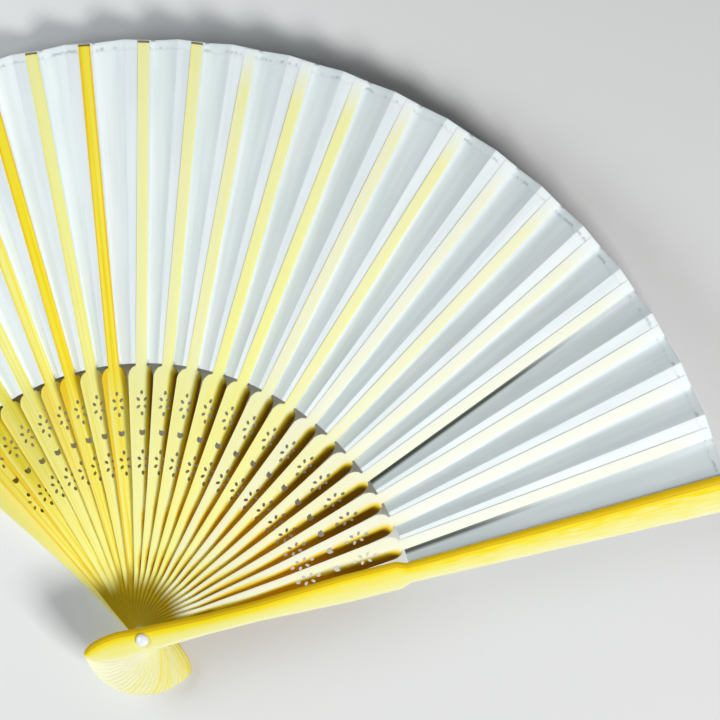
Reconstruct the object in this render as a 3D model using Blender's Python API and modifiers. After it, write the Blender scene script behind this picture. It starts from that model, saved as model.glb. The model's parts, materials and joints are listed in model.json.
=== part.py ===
"""A folding hand fan of bamboo and silk, lying part open: two guards, the pierced ribs between them,
the pleated leaf that they carry, and the rivet that they all turn on.

The rivet's axis is Z, and the back of its cap is at z = 0. Every stick is modelled pointing along +X,
with +Y on its left. It is then turned about Z and lifted to its place in the stack. The back guard
lies lowest, and each stick after it lies on the one before and further to the right."""

import math

import bmesh
import bpy

MM = 0.001

# How the fan stands open, in degrees about the rivet: the back guard's direction, and the turn from
# each stick to the next one on its right, as far as the front guard. The cloth pulls the sticks apart
# unevenly.
BACK_GUARD_DEG = 135.5
STICK_GAPS_DEG = (
    4.8, 4.5, 5.0, 5.1, 5.1, 4.5, 4.7, 4.9, 5.9, 5.6, 5.2, 5.7,
    5.4, 5.6, 5.5, 5.5, 5.5, 5.5, 5.4, 5.4, 5.3, 5.3, 5.9,
)

# The stack at the rivet
RIB_THICKNESS = 0.62 * MM
SLIP_THICKNESS = 0.32 * MM  # the thin end of a rib, which the cloth is glued to
GUARD_THICKNESS = 2.2 * MM
RUNNING_GAP = 0.33 * MM  # between one stick and the next

# The leaf
CLOTH_THICKNESS = 0.15 * MM
CLOTH_GAP = 0.23 * MM  # from the cloth to the sticks above and below it
LEAF_INNER_RADIUS = 88.9 * MM
LEAF_OUTER_RADIUS = 194.4 * MM
FOLD_MARGIN = 0.3 * MM  # from a rib's right edge to the fold beside it
CREST_INNER = 3.1 * MM  # from a rib's middle to the crest on its left, at the leaf's inner edge
CREST_OUTER = 6.2 * MM  # the same at the rim
SEAM_GAP = 0.3 * MM  # between one panel of the leaf and the next

# A stick's widths, and their places along it, measured from the rivet
TAIL_REACH = 19.3 * MM
TAIL_ROUND = 12.3 * MM
TAIL_WIDTH = 9.0 * MM
PIVOT_WIDTH = 8.0 * MM
WAIST_WIDTH = 5.9 * MM
WAIST_START = 21.0 * MM
WAIST_END = 49.0 * MM
BLADE_WIDTH = 7.3 * MM
SHOULDER_LENGTH = 3.3 * MM  # from the blade's end to the neck
NECK_WIDTH = 3.6 * MM
NECK_LENGTH = 0.8 * MM  # the bare stretch from the neck to the leaf
SLIP_END_WIDTH = 4.2 * MM
RIB_REACH = 191.4 * MM

# The guards, whose tails are the ribs' own
GUARD_WAIST_WIDTH = 6.6 * MM
GUARD_WAIST_END = 38.0 * MM
GUARD_BLADE_WIDTH = 9.2 * MM
GUARD_BLADE_START = 67.0 * MM
GUARD_NECK_WIDTH = 6.7 * MM
GUARD_END_WIDTH = 11.9 * MM
GUARD_REACH = 194.2 * MM
GUARD_BEVEL_DEPTH = 1.1 * MM
GUARD_BEVEL_WIDTH = 1.5 * MM  # as far as the shoulder
GUARD_BEVEL_END_WIDTH = 4.6 * MM  # at the tip

# A stick lies flat at the rivet. Its left edge rises along its waist, until its blade leans with the pleats
LEAN_SLOPE = 0.45

# The pierced ornament: a cup-shaped hole between two flowers of six petals, measured from the blade's end
UPPER_FLOWER_SETBACK = 8.8 * MM
CUP_SETBACK = 18.4 * MM
LOWER_FLOWER_SETBACK = 28.1 * MM
END_PETAL_OFFSET = 3.45 * MM
SIDE_PETAL_ALONG = 1.24 * MM
SIDE_PETAL_ACROSS = 1.12 * MM
PETAL_LENGTH = 1.35 * MM
PETAL_WIDTH = 0.85 * MM
CUP_LENGTH = 1.8 * MM
CUP_WIDTH = 1.86 * MM
PETAL_SHARES = ((-0.5, 0.0), (0.05, -0.5), (0.42, -0.3), (0.42, 0.3), (0.05, 0.5))
CUP_SHARES = (
    (0.5, -0.46), (0.26, 0.0), (0.5, 0.46), (0.0, 0.5),
    (-0.36, 0.34), (-0.5, 0.0), (-0.36, -0.34), (0.0, -0.5),
)

# The rivet
SHANK_RADIUS = 1.2 * MM
SHANK_CLEARANCE = 0.3 * MM
HEAD_RADIUS = 2.15 * MM
HEAD_HEIGHT = 1.3 * MM
CAP_THICKNESS = 0.8 * MM
CAP_FLOOR = 0.35 * MM
HEAD_GAP = 0.2 * MM  # from the rivet's head, or its cap, to the guard

# How finely round shapes are divided
TAIL_STEPS = 5
WAIST_STEPS = 6
SHOULDER_STEPS = 3
HOLE_SIDES = 10
RIVET_SIDES = 20
DOME_STEPS = 5
LEAF_STEPS = 2
SHARP_DEG = 35
WELD_DISTANCE = 0.001 * MM

BAMBOO_COLOUR = (0.86, 0.68, 0.26)
SILK_COLOUR = (0.86, 0.88, 0.88)
PEARL_COLOUR = (0.9, 0.9, 0.92)

LAST = len(STICK_GAPS_DEG)
NECK_PLACE = LEAF_INNER_RADIUS - NECK_LENGTH
BLADE_END = NECK_PLACE - SHOULDER_LENGTH
HOLE_RADIUS = SHANK_RADIUS + SHANK_CLEARANCE
LEAF_RECESS = RIB_THICKNESS - SLIP_THICKNESS
STICK_PITCH = max(RIB_THICKNESS + RUNNING_GAP, SLIP_THICKNESS + CLOTH_THICKNESS + 2 * CLOTH_GAP)
CLOTH_LEVEL = LEAF_RECESS - (STICK_PITCH - SLIP_THICKNESS) / 2  # above a stick's underside
GUARD_LEVEL = CAP_THICKNESS + HEAD_GAP
RIB_LEVEL = GUARD_LEVEL + GUARD_THICKNESS + RUNNING_GAP


def stick_angle(stick):
    """The direction that a stick points in, in radians. Stick 0 is the back guard."""
    return math.radians(BACK_GUARD_DEG - sum(STICK_GAPS_DEG[:stick]))


def stick_level(stick):
    """The height of a stick's underside at the rivet."""
    return GUARD_LEVEL if stick == 0 else RIB_LEVEL + (stick - 1) * STICK_PITCH


def between(x, table):
    """Reads a table of (place, value) pairs by straight lines between its places."""
    for (x0, v0), (x1, v1) in zip(table, table[1:]):
        if x <= x1:
            return v0 + (v1 - v0) * max(0.0, x - x0) / (x1 - x0)
    return table[-1][1]


def lean(x, y):
    """How far a stick's surface rises or falls at a place on it."""
    share = min(1.0, max(0.0, (x - WAIST_START) / (WAIST_END - WAIST_START)))
    return LEAN_SLOPE * share * y


def tail_half_outline():
    """The left half of a stick's round tail, from its tip to its widest place."""
    centre = TAIL_ROUND - TAIL_REACH
    turns = [math.pi / 2 * n / TAIL_STEPS for n in range(TAIL_STEPS + 1)]
    return [(centre - TAIL_ROUND * math.cos(a), TAIL_WIDTH / 2 * math.sin(a)) for a in turns]


def new_collection(name):
    made = bpy.data.collections.new(name)
    bpy.context.scene.collection.children.link(made)
    return made


def new_material(name, colour, roughness, metallic=0.0):
    made = bpy.data.materials.new(name)
    made.use_nodes = True
    shader = made.node_tree.nodes["Principled BSDF"]
    shader.inputs["Base Color"].default_value = (*colour, 1.0)
    shader.inputs["Roughness"].default_value = roughness
    shader.inputs["Metallic"].default_value = metallic
    made.diffuse_color = (*colour, 1.0)
    return made


def new_object(name, mesh, material):
    piece = bpy.data.objects.new(name, mesh)
    if not mesh.materials:
        mesh.materials.append(material)
    fan.objects.link(piece)
    return piece


def place_in_stack(piece, stick):
    """Turns a stick about the rivet's axis, where its origin is, and lifts it to its level."""
    piece.location.z = stick_level(stick)
    piece.rotation_euler.z = stick_angle(stick)


def plate_from_outlines(name, outlines, thickness):
    """A flat plate that lies on z = 0. The first outline is its edge, and the others are its holes."""
    curve = bpy.data.curves.new(name, "CURVE")
    curve.dimensions = "2D"
    curve.fill_mode = "BOTH"
    curve.extrude = thickness / 2
    for outline in outlines:
        spline = curve.splines.new("POLY")
        spline.points.add(len(outline) - 1)
        for point, (x, y) in zip(spline.points, outline):
            point.co = (x, y, 0.0, 1.0)
        spline.use_cyclic_u = True
    carrier = bpy.data.objects.new(name, curve)
    bpy.context.scene.collection.objects.link(carrier)
    bpy.context.view_layer.update()
    evaluated = carrier.evaluated_get(bpy.context.evaluated_depsgraph_get())
    mesh = bpy.data.meshes.new_from_object(evaluated)
    bpy.data.objects.remove(carrier)
    bpy.data.curves.remove(curve)
    bm = bmesh.new()
    bm.from_mesh(mesh)
    bmesh.ops.remove_doubles(bm, verts=bm.verts, dist=WELD_DISTANCE)
    bmesh.ops.translate(bm, verts=bm.verts, vec=(0.0, 0.0, thickness / 2))
    bmesh.ops.triangulate(bm, faces=bm.faces)
    rims = {edge for edge in bm.edges if edge.calc_face_angle() > math.radians(SHARP_DEG)}
    bmesh.ops.beautify_fill(bm, faces=bm.faces, edges=[edge for edge in bm.edges if edge not in rims])
    bm.to_mesh(mesh)
    bm.free()
    return mesh


def moved(outline, x, y=0.0, turn=0.0):
    """An outline turned about its own origin and then moved to a place."""
    c, s = math.cos(turn), math.sin(turn)
    return [(x + c * u - s * v, y + s * u + c * v) for u, v in outline]


def flower_outlines(place):
    """Six petals about a place on the rib: one towards each end, and two on each side."""
    petal = [(PETAL_LENGTH * u, PETAL_WIDTH * v) for u, v in PETAL_SHARES]
    outlines = [
        moved(petal, place + END_PETAL_OFFSET),
        moved(petal, place - END_PETAL_OFFSET, 0.0, math.pi),
    ]
    for along in (SIDE_PETAL_ALONG, -SIDE_PETAL_ALONG):
        for across in (SIDE_PETAL_ACROSS, -SIDE_PETAL_ACROSS):
            outlines.append(moved(petal, place + along, across, math.atan2(across, along)))
    return outlines


def rib_outlines():
    """The rib's edge, the rivet's hole and the ornament."""
    half = tail_half_outline()
    half += [
        (0.0, PIVOT_WIDTH / 2),
        (WAIST_START, WAIST_WIDTH / 2),
        (WAIST_END, WAIST_WIDTH / 2),
    ]
    for n in range(SHOULDER_STEPS + 1):
        a = math.pi / 2 * n / SHOULDER_STEPS
        rise = (BLADE_WIDTH - NECK_WIDTH) / 2
        half.append((BLADE_END + SHOULDER_LENGTH * math.sin(a), NECK_WIDTH / 2 + rise * math.cos(a)))
    half.append((RIB_REACH, SLIP_END_WIDTH / 2))
    edge = half + [(x, -y) for x, y in reversed(half[1:])]
    corners = [2 * math.pi * n / HOLE_SIDES for n in range(HOLE_SIDES)]
    rivet_hole = [(HOLE_RADIUS * math.cos(a), HOLE_RADIUS * math.sin(a)) for a in corners]
    cup = moved([(CUP_LENGTH * u, CUP_WIDTH * v) for u, v in CUP_SHARES], BLADE_END - CUP_SETBACK)
    upper_flower = flower_outlines(BLADE_END - UPPER_FLOWER_SETBACK)
    lower_flower = flower_outlines(BLADE_END - LOWER_FLOWER_SETBACK)
    return [edge, rivet_hole, cup, *upper_flower, *lower_flower]


def waist_places():
    """Where a stick is divided along its waist, so that it can twist there."""
    step = (WAIST_END - WAIST_START) / WAIST_STEPS
    return [WAIST_START + step * n for n in range(WAIST_STEPS + 1)]


def rib_mesh():
    """The plate is cut across at a few places, thinned from below beyond the neck, and then leaned."""
    mesh = plate_from_outlines("rib", rib_outlines(), RIB_THICKNESS)
    bm = bmesh.new()
    bm.from_mesh(mesh)
    slip_start = NECK_PLACE + NECK_LENGTH / 2
    for x in [*waist_places(), slip_start]:
        everything = bm.verts[:] + bm.edges[:] + bm.faces[:]
        bmesh.ops.bisect_plane(
            bm, geom=everything, dist=WELD_DISTANCE, plane_co=(x, 0.0, 0.0), plane_no=(1.0, 0.0, 0.0)
        )
    for vertex in bm.verts:
        x, y, z = vertex.co
        if x > NECK_PLACE + WELD_DISTANCE and z < RIB_THICKNESS / 2:
            vertex.co.z = LEAF_RECESS
        vertex.co.z += lean(x, y)
    bm.to_mesh(mesh)
    bm.free()
    return mesh


def guard_half_widths():
    """(place, half width) along a guard, from the rivet to its tip."""
    return [
        (0.0, PIVOT_WIDTH / 2),
        (WAIST_START, GUARD_WAIST_WIDTH / 2),
        (GUARD_WAIST_END, GUARD_WAIST_WIDTH / 2),
        (GUARD_BLADE_START, GUARD_BLADE_WIDTH / 2),
        (BLADE_END, GUARD_BLADE_WIDTH / 2),
        (NECK_PLACE, GUARD_NECK_WIDTH / 2),
        (GUARD_REACH, GUARD_END_WIDTH / 2),
    ]


def guard_stations():
    """(place, half width) of each section of a guard, from its tail to its tip."""
    widths = guard_half_widths()
    places = sorted({place for place, half in widths} | set(waist_places()))
    return tail_half_outline()[1:] + [(place, between(place, widths)) for place in places]


def guard_half_width(x):
    return between(x, guard_half_widths())


def guard_section(x, half):
    """The outline across a guard, its outer face up: flat below, with a bevel along its left edge."""
    bevels = ((NECK_PLACE, GUARD_BEVEL_WIDTH), (GUARD_REACH, GUARD_BEVEL_END_WIDTH))
    bevel = min(between(x, bevels), half)
    floor = LEAF_RECESS if x >= NECK_PLACE else 0.0
    return [
        (-half, floor),
        (half, floor),
        (half, GUARD_THICKNESS - GUARD_BEVEL_DEPTH),
        (half - bevel, GUARD_THICKNESS),
        (-half, GUARD_THICKNESS),
    ]


def guard_mesh(name, turned_over):
    """Sections along the guard, joined one to the next. The back guard is the same bar turned over."""
    bm = bmesh.new()
    rings = []
    for x, half in guard_stations():
        ring = []
        for y, z in guard_section(x, half):
            if turned_over:
                y, z = -y, GUARD_THICKNESS - z
            ring.append(bm.verts.new((x, y, z + lean(x, y))))
        rings.append(ring)
    for near, far in zip(rings, rings[1:]):
        for n in range(len(near)):
            m = (n + 1) % len(near)
            bm.faces.new((near[n], near[m], far[m], far[n]))
    bm.faces.new(rings[0])
    bm.faces.new(rings[-1])
    bmesh.ops.triangulate(bm, faces=bm.faces)
    bmesh.ops.recalc_face_normals(bm, faces=bm.faces)
    mesh = bpy.data.meshes.new(name)
    bm.to_mesh(mesh)
    bm.free()
    return mesh


def add_rivet_bore():
    """The cutter for the rivet's hole. It runs past both guards."""
    height = 2 * (stick_level(LAST) + GUARD_THICKNESS + HEAD_GAP)
    bpy.ops.mesh.primitive_cylinder_add(vertices=HOLE_SIDES, radius=HOLE_RADIUS, depth=height)
    bore = bpy.context.object
    bore.name = "rivet_bore"
    for holder in bore.users_collection:
        holder.objects.unlink(bore)
    cutters.objects.link(bore)
    bore.hide_render = True
    bore.display_type = "WIRE"
    return bore


def cut_by(piece, cutter):
    cut = piece.modifiers.new(cutter.name, "BOOLEAN")
    cut.object = cutter
    cut.operation = "DIFFERENCE"


def slip_half_width(x):
    return between(x, ((NECK_PLACE, NECK_WIDTH / 2), (RIB_REACH, SLIP_END_WIDTH / 2)))


def low_fold(stick, radius):
    """Where the stick's pleat face ends, across the stick and to its right. This fold is the lower one."""
    if stick in (0, LAST):
        return FOLD_MARGIN - guard_half_width(radius)
    return -(slip_half_width(radius) + FOLD_MARGIN)


def high_fold(stick, radius):
    """Where the stick's pleat face starts, across the stick and to its left."""
    if stick == 0:
        return -low_fold(0, radius)
    if stick == LAST:
        return guard_half_width(radius) + FOLD_MARGIN
    return between(radius, ((LEAF_INNER_RADIUS, CREST_INNER), (LEAF_OUTER_RADIUS, CREST_OUTER)))


def cloth_level(stick):
    """The height of the cloth at a stick. It lies on top of the back guard, and under the others."""
    if stick == 0:
        return stick_level(0) + GUARD_THICKNESS - LEAF_RECESS + CLOTH_GAP + CLOTH_THICKNESS / 2
    return stick_level(stick) + CLOTH_LEVEL


def leaf_point(stick, radius, across):
    """The point of the leaf in a stick's pleat face, that far across the stick and from the rivet."""
    along = math.sqrt(radius**2 - across**2)
    c, s = math.cos(stick_angle(stick)), math.sin(stick_angle(stick))
    height = cloth_level(stick) + LEAN_SLOPE * across
    return (c * along - s * across, s * along + c * across, height)


def leaf_mesh(stick):
    """The stick's own pleat face and the free one on its left, as far as the next stick's fold."""
    bm = bmesh.new()
    columns = 1 if stick == 0 else 2
    bmesh.ops.create_grid(bm, x_segments=columns, y_segments=LEAF_STEPS, size=1.0)
    for vertex in bm.verts:
        column = round((vertex.co.x + 1.0) / 2 * columns)
        row = (vertex.co.y + 1.0) / 2
        radius = LEAF_INNER_RADIUS + (LEAF_OUTER_RADIUS - LEAF_INNER_RADIUS) * row
        if column == columns:
            vertex.co = leaf_point(stick, radius, low_fold(stick, radius))
        elif column == columns - 1:
            vertex.co = leaf_point(stick, radius, high_fold(stick, radius))
        else:
            vertex.co = leaf_point(stick - 1, radius, low_fold(stick - 1, radius) - SEAM_GAP)
    mesh = bpy.data.meshes.new(f"leaf_{stick:02d}")
    bmesh.ops.recalc_face_normals(bm, faces=bm.faces)
    bm.to_mesh(mesh)
    bm.free()
    return mesh


def add_leaf(stick):
    panel = new_object(f"leaf_{stick:02d}", leaf_mesh(stick), silk)
    solid = panel.modifiers.new("cloth", "SOLIDIFY")
    solid.thickness = CLOTH_THICKNESS
    solid.offset = 0.0
    return panel


def turned_mesh(name, profile):
    """A profile of (radius, height) points, down the outside from top to bottom, turned about Z."""
    mesh = bpy.data.meshes.new(name)
    edges = [(n, n + 1) for n in range(len(profile) - 1)]
    mesh.from_pydata([(r, 0.0, z) for r, z in profile], edges, [])
    carrier = bpy.data.objects.new(name, mesh)
    bpy.context.scene.collection.objects.link(carrier)
    screw = carrier.modifiers.new("turn", "SCREW")
    screw.steps = RIVET_SIDES
    screw.render_steps = RIVET_SIDES
    screw.use_merge_vertices = True
    screw.merge_threshold = WELD_DISTANCE
    bpy.context.view_layer.update()
    evaluated = carrier.evaluated_get(bpy.context.evaluated_depsgraph_get())
    turned = bpy.data.meshes.new_from_object(evaluated)
    turned.name = name
    bpy.data.objects.remove(carrier)
    bpy.data.meshes.remove(mesh)
    return turned


def add_rivet():
    """The shank passes through every stick. Its head is in front, and its end sits in the cap behind."""
    head_level = stick_level(LAST) + GUARD_THICKNESS + HEAD_GAP
    shank_end = CAP_FLOOR + RUNNING_GAP
    turns = [math.pi / 2 * n / DOME_STEPS for n in range(DOME_STEPS + 1)]
    profile = [(HEAD_RADIUS * math.sin(a), head_level + HEAD_HEIGHT * math.cos(a)) for a in turns]
    profile += [(SHANK_RADIUS, head_level), (SHANK_RADIUS, shank_end), (0.0, shank_end)]
    rivet = new_object("rivet", turned_mesh("rivet", profile), pearl)
    cap_profile = [
        (0.0, CAP_FLOOR),
        (HOLE_RADIUS, CAP_FLOOR),
        (HOLE_RADIUS, CAP_THICKNESS),
        (HEAD_RADIUS, CAP_THICKNESS),
        (HEAD_RADIUS, 0.0),
        (0.0, 0.0),
    ]
    cap = new_object("rivet_cap", turned_mesh("rivet_cap", cap_profile), pearl)
    for piece in (rivet, cap):
        piece.data.shade_smooth()
        piece.data.set_sharp_from_angle(angle=math.radians(SHARP_DEG))


def add_guards():
    bore = add_rivet_bore()
    for name, stick, turned_over in (("back_guard", 0, True), ("front_guard", LAST, False)):
        guard = new_object(name, guard_mesh(name, turned_over), bamboo)
        place_in_stack(guard, stick)
        cut_by(guard, bore)


def add_ribs():
    """Every rib is cut to the same pattern, so they share one mesh."""
    mesh = rib_mesh()
    for stick in range(1, LAST):
        place_in_stack(new_object(f"rib_{stick:02d}", mesh, bamboo), stick)


for old in list(bpy.data.objects):
    bpy.data.objects.remove(old)

fan = new_collection("folding_fan")
cutters = new_collection("cutters")
bamboo = new_material("bamboo", BAMBOO_COLOUR, roughness=0.5)
silk = new_material("silk", SILK_COLOUR, roughness=0.75)
pearl = new_material("pearl", PEARL_COLOUR, roughness=0.25)

add_guards()
add_ribs()
for each in range(LAST + 1):
    add_leaf(each)
add_rivet()
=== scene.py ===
# %% [markdown]
# # A folding fan of bamboo and silk
# Twenty-four sticks turn on one rivet and carry a pleated leaf of white silk. The frame that is loaded
# here has every piece at its real place, in metres. This lesson gives each of them its finish: pierced
# bamboo ribs, two stout guards, the pleats with their hem, and a pearly rivet.

# %% Load the frame
import json
import math

import bmesh
import bpy
from mathutils import Matrix, Vector


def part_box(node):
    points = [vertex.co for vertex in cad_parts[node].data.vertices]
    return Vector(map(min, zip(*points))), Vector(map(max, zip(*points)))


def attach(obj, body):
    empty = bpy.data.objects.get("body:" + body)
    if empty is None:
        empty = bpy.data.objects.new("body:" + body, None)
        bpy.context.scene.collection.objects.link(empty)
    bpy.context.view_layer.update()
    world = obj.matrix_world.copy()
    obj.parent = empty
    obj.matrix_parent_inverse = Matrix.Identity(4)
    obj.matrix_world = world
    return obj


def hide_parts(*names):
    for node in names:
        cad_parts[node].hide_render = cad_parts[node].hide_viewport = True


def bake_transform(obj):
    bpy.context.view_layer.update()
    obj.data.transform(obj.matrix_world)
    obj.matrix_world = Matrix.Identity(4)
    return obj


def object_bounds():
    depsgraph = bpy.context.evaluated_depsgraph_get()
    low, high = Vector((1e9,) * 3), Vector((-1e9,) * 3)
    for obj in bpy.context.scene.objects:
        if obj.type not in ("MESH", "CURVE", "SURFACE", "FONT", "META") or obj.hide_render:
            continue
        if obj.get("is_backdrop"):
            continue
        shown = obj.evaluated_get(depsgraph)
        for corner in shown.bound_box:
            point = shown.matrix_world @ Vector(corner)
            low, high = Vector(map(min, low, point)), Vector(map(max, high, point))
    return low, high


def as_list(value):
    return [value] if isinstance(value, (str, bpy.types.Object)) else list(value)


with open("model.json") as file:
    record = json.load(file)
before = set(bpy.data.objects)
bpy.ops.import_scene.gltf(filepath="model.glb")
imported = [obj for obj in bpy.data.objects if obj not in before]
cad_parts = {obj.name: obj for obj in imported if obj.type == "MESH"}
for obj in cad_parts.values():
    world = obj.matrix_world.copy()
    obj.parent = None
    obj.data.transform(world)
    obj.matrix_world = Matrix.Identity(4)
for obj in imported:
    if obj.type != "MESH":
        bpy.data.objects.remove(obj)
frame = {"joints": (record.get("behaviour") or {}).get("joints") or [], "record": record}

MM = 0.001
cad_box = [list(corner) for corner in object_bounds()]
print("frame box, mm:", [[round(value / MM, 1) for value in corner] for corner in cad_box])

# %% [markdown]
# ## Where each stick points
# The sticks form a chain of hinges. A stick's level is its hinge's height, and its gap to the stick on
# its left is the first hinge's closing turn times its own ratio. Reading them from the frame, rather than
# typing them again, keeps every piece on its body.

# %% Read the sticks
BACK_GUARD_DEG = 135.5
CAP_TO_GUARD = 0.2 * MM

joints = frame["joints"]
ratios = {pair["joint"]: pair["ratio"] for pair in frame["record"]["behaviour"]["couplings"]}
bodies = ["back_guard"] + [joint["child"] for joint in joints]
levels = [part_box("rivet_cap")[1].z + CAP_TO_GUARD] + [joint["pos_m"][2] for joint in joints]
gaps_deg = [joints[0]["range_deg"][1] * ratios.get(joint["name"], 1.0) for joint in joints]
angles = [math.radians(BACK_GUARD_DEG - sum(gaps_deg[:n])) for n in range(len(bodies))]
LAST = len(bodies) - 1
print(len(bodies), "sticks, open by", round(sum(gaps_deg), 1), "degrees")


def on_stick(stick, x, y, z):
    """A place given along, across and above a stick, in the fan's own frame."""
    turned = Matrix.Rotation(angles[stick], 3, "Z") @ Vector((x, y, z))
    return turned + Vector((0.0, 0.0, levels[stick]))


# %% [markdown]
# ## The sizes of the sticks
# A stick has a round tail behind the rivet, a narrow waist, a wider blade with the ornament, and beyond
# its shoulders a thin slip that carries the silk. It lies flat at the rivet, and leans more and more along
# the waist, so that its blade lies in the plane of its own pleat.

# %% Name the sizes
RIB_THICKNESS = 0.62 * MM
SLIP_THICKNESS = 0.32 * MM
GUARD_THICKNESS = 2.2 * MM
LEAF_RECESS = RIB_THICKNESS - SLIP_THICKNESS
TAIL_REACH = 19.3 * MM
TAIL_ROUND = 12.3 * MM
TAIL_WIDTH = 9.0 * MM
PIVOT_WIDTH = 8.0 * MM
WAIST_WIDTH = 5.9 * MM
WAIST_START = 21.0 * MM
WAIST_END = 49.0 * MM
BLADE_WIDTH = 7.3 * MM
LEAF_INNER_RADIUS = 88.9 * MM
LEAF_OUTER_RADIUS = 194.4 * MM
NECK_PLACE = LEAF_INNER_RADIUS - 0.8 * MM
BLADE_END = NECK_PLACE - 3.3 * MM
NECK_WIDTH = 3.5 * MM
SLIP_END_WIDTH = 3.7 * MM
RIB_REACH = 194.0 * MM
GUARD_WAIST_WIDTH = 6.6 * MM
GUARD_WAIST_END = 38.0 * MM
GUARD_BLADE_WIDTH = 9.2 * MM
GUARD_BLADE_START = 67.0 * MM
GUARD_NECK_WIDTH = 6.7 * MM
GUARD_END_WIDTH = 11.9 * MM
GUARD_REACH = 194.2 * MM
LEAN_SLOPE = 0.45
LEAN_START = 24.0 * MM
LEAN_END = 66.0 * MM
HOLE_RADIUS = 1.5 * MM


def between(x, table):
    """Reads a table of (place, value) pairs by straight lines between its places."""
    for (x0, v0), (x1, v1) in zip(table, table[1:]):
        if x <= x1:
            return v0 + (v1 - v0) * max(0.0, x - x0) / (x1 - x0)
    return table[-1][1]


def lean(x, y):
    share = min(1.0, max(0.0, (x - LEAN_START) / (LEAN_END - LEAN_START)))
    return LEAN_SLOPE * share * y


print("longest stick, mm:", round((TAIL_REACH + GUARD_REACH) / MM, 1))

# %% [markdown]
# ## Node trees as Python sums
# A long chain of Math nodes is hard to read, and its formula is not. So one small class wraps a socket
# and lets Python's own signs add the Math nodes, and one method of the tree adds any other node. A tree
# that makes meshes is a recipe: it has named inputs, and is run once for each piece.

# %% Wrap a socket
class Socket:
    """An output of a node, ready to be used in a sum."""

    def __init__(self, tree, output):
        self.tree = tree
        self.output = output

    def __add__(self, other):
        return self.tree.math("ADD", self, other)

    def __radd__(self, other):
        return self.tree.math("ADD", other, self)

    def __sub__(self, other):
        return self.tree.math("SUBTRACT", self, other)

    def __rsub__(self, other):
        return self.tree.math("SUBTRACT", other, self)

    def __mul__(self, other):
        return self.tree.math("MULTIPLY", self, other)

    def __rmul__(self, other):
        return self.tree.math("MULTIPLY", other, self)

    def __truediv__(self, other):
        return self.tree.math("DIVIDE", self, other)

    def __pow__(self, other):
        return self.tree.math("POWER", self, other)


# %% Wrap a tree
class Tree:
    """A node tree that is written as sums and as calls of node()."""

    def __init__(self, tree):
        self.tree = tree

    def node(self, kind, settings=None, inputs=None, output=0):
        """Adds a node, sets it, then gives its sockets their values or links. Returns one output."""
        made = self.tree.nodes.new(kind)
        for name, value in (settings or {}).items():
            if name == "stops":
                ramp = made.color_ramp.elements
                ramp.remove(ramp[-1])
                for number, (place, colour) in enumerate(value):
                    stop = ramp[0] if number == 0 else ramp.new(place)
                    stop.position = place
                    stop.color = (*colour, 1.0)
            else:
                setattr(made, name, value)
        for name, value in (inputs or {}).items():
            for one in value if isinstance(value, list) else [value]:
                if isinstance(one, Socket):
                    self.tree.links.new(one.output, made.inputs[name])
                else:
                    made.inputs[name].default_value = one
        return Socket(self, made.outputs[output])

    def math(self, operation, *values):
        return self.node("ShaderNodeMath", {"operation": operation}, dict(enumerate(values)))

    def vector(self, x=0.0, y=0.0, z=0.0):
        return self.node("ShaderNodeCombineXYZ", inputs={0: x, 1: y, 2: z})

    def parts(self, vector):
        made = self.node("ShaderNodeSeparateXYZ", inputs={0: vector})
        return [Socket(self, output) for output in made.output.node.outputs]

    def mix_vectors(self, share, first, second):
        return self.node("ShaderNodeMix", {"data_type": "VECTOR"}, {0: share, 4: first, 5: second}, 1)

    def mix_colours(self, share, first, second):
        return self.node("ShaderNodeMix", {"data_type": "RGBA"}, {0: share, 6: first, 7: second}, 2)

    def smooth(self, value, low, high):
        """0 below low, 1 above high, and a soft step between them."""
        settings = {"interpolation_type": "SMOOTHSTEP"}
        span = {"Value": value, "From Min": low, "From Max": high}
        return self.node("ShaderNodeMapRange", settings, span)

    def ramp(self, value, low, high):
        """0 below low, 1 above high, and a straight line between them."""
        return self.node("ShaderNodeMapRange", inputs={"Value": value, "From Min": low, "From Max": high})

    def noise(self, place, detail=2.0):
        values = {"Vector": place, "Scale": 1.0, "Detail": detail}
        return self.node("ShaderNodeTexNoise", inputs=values)

    def lines(self, along, across, counts, seed, detail=2.0):
        """Noise with its own count of lumps along a piece and across it."""
        return self.noise(self.vector(along * counts[0], across * counts[1], seed), detail)

    def bump(self, strength, distance, height):
        relief = {"Strength": strength, "Distance": distance, "Height": height}
        return self.node("ShaderNodeBump", inputs=relief)


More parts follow.
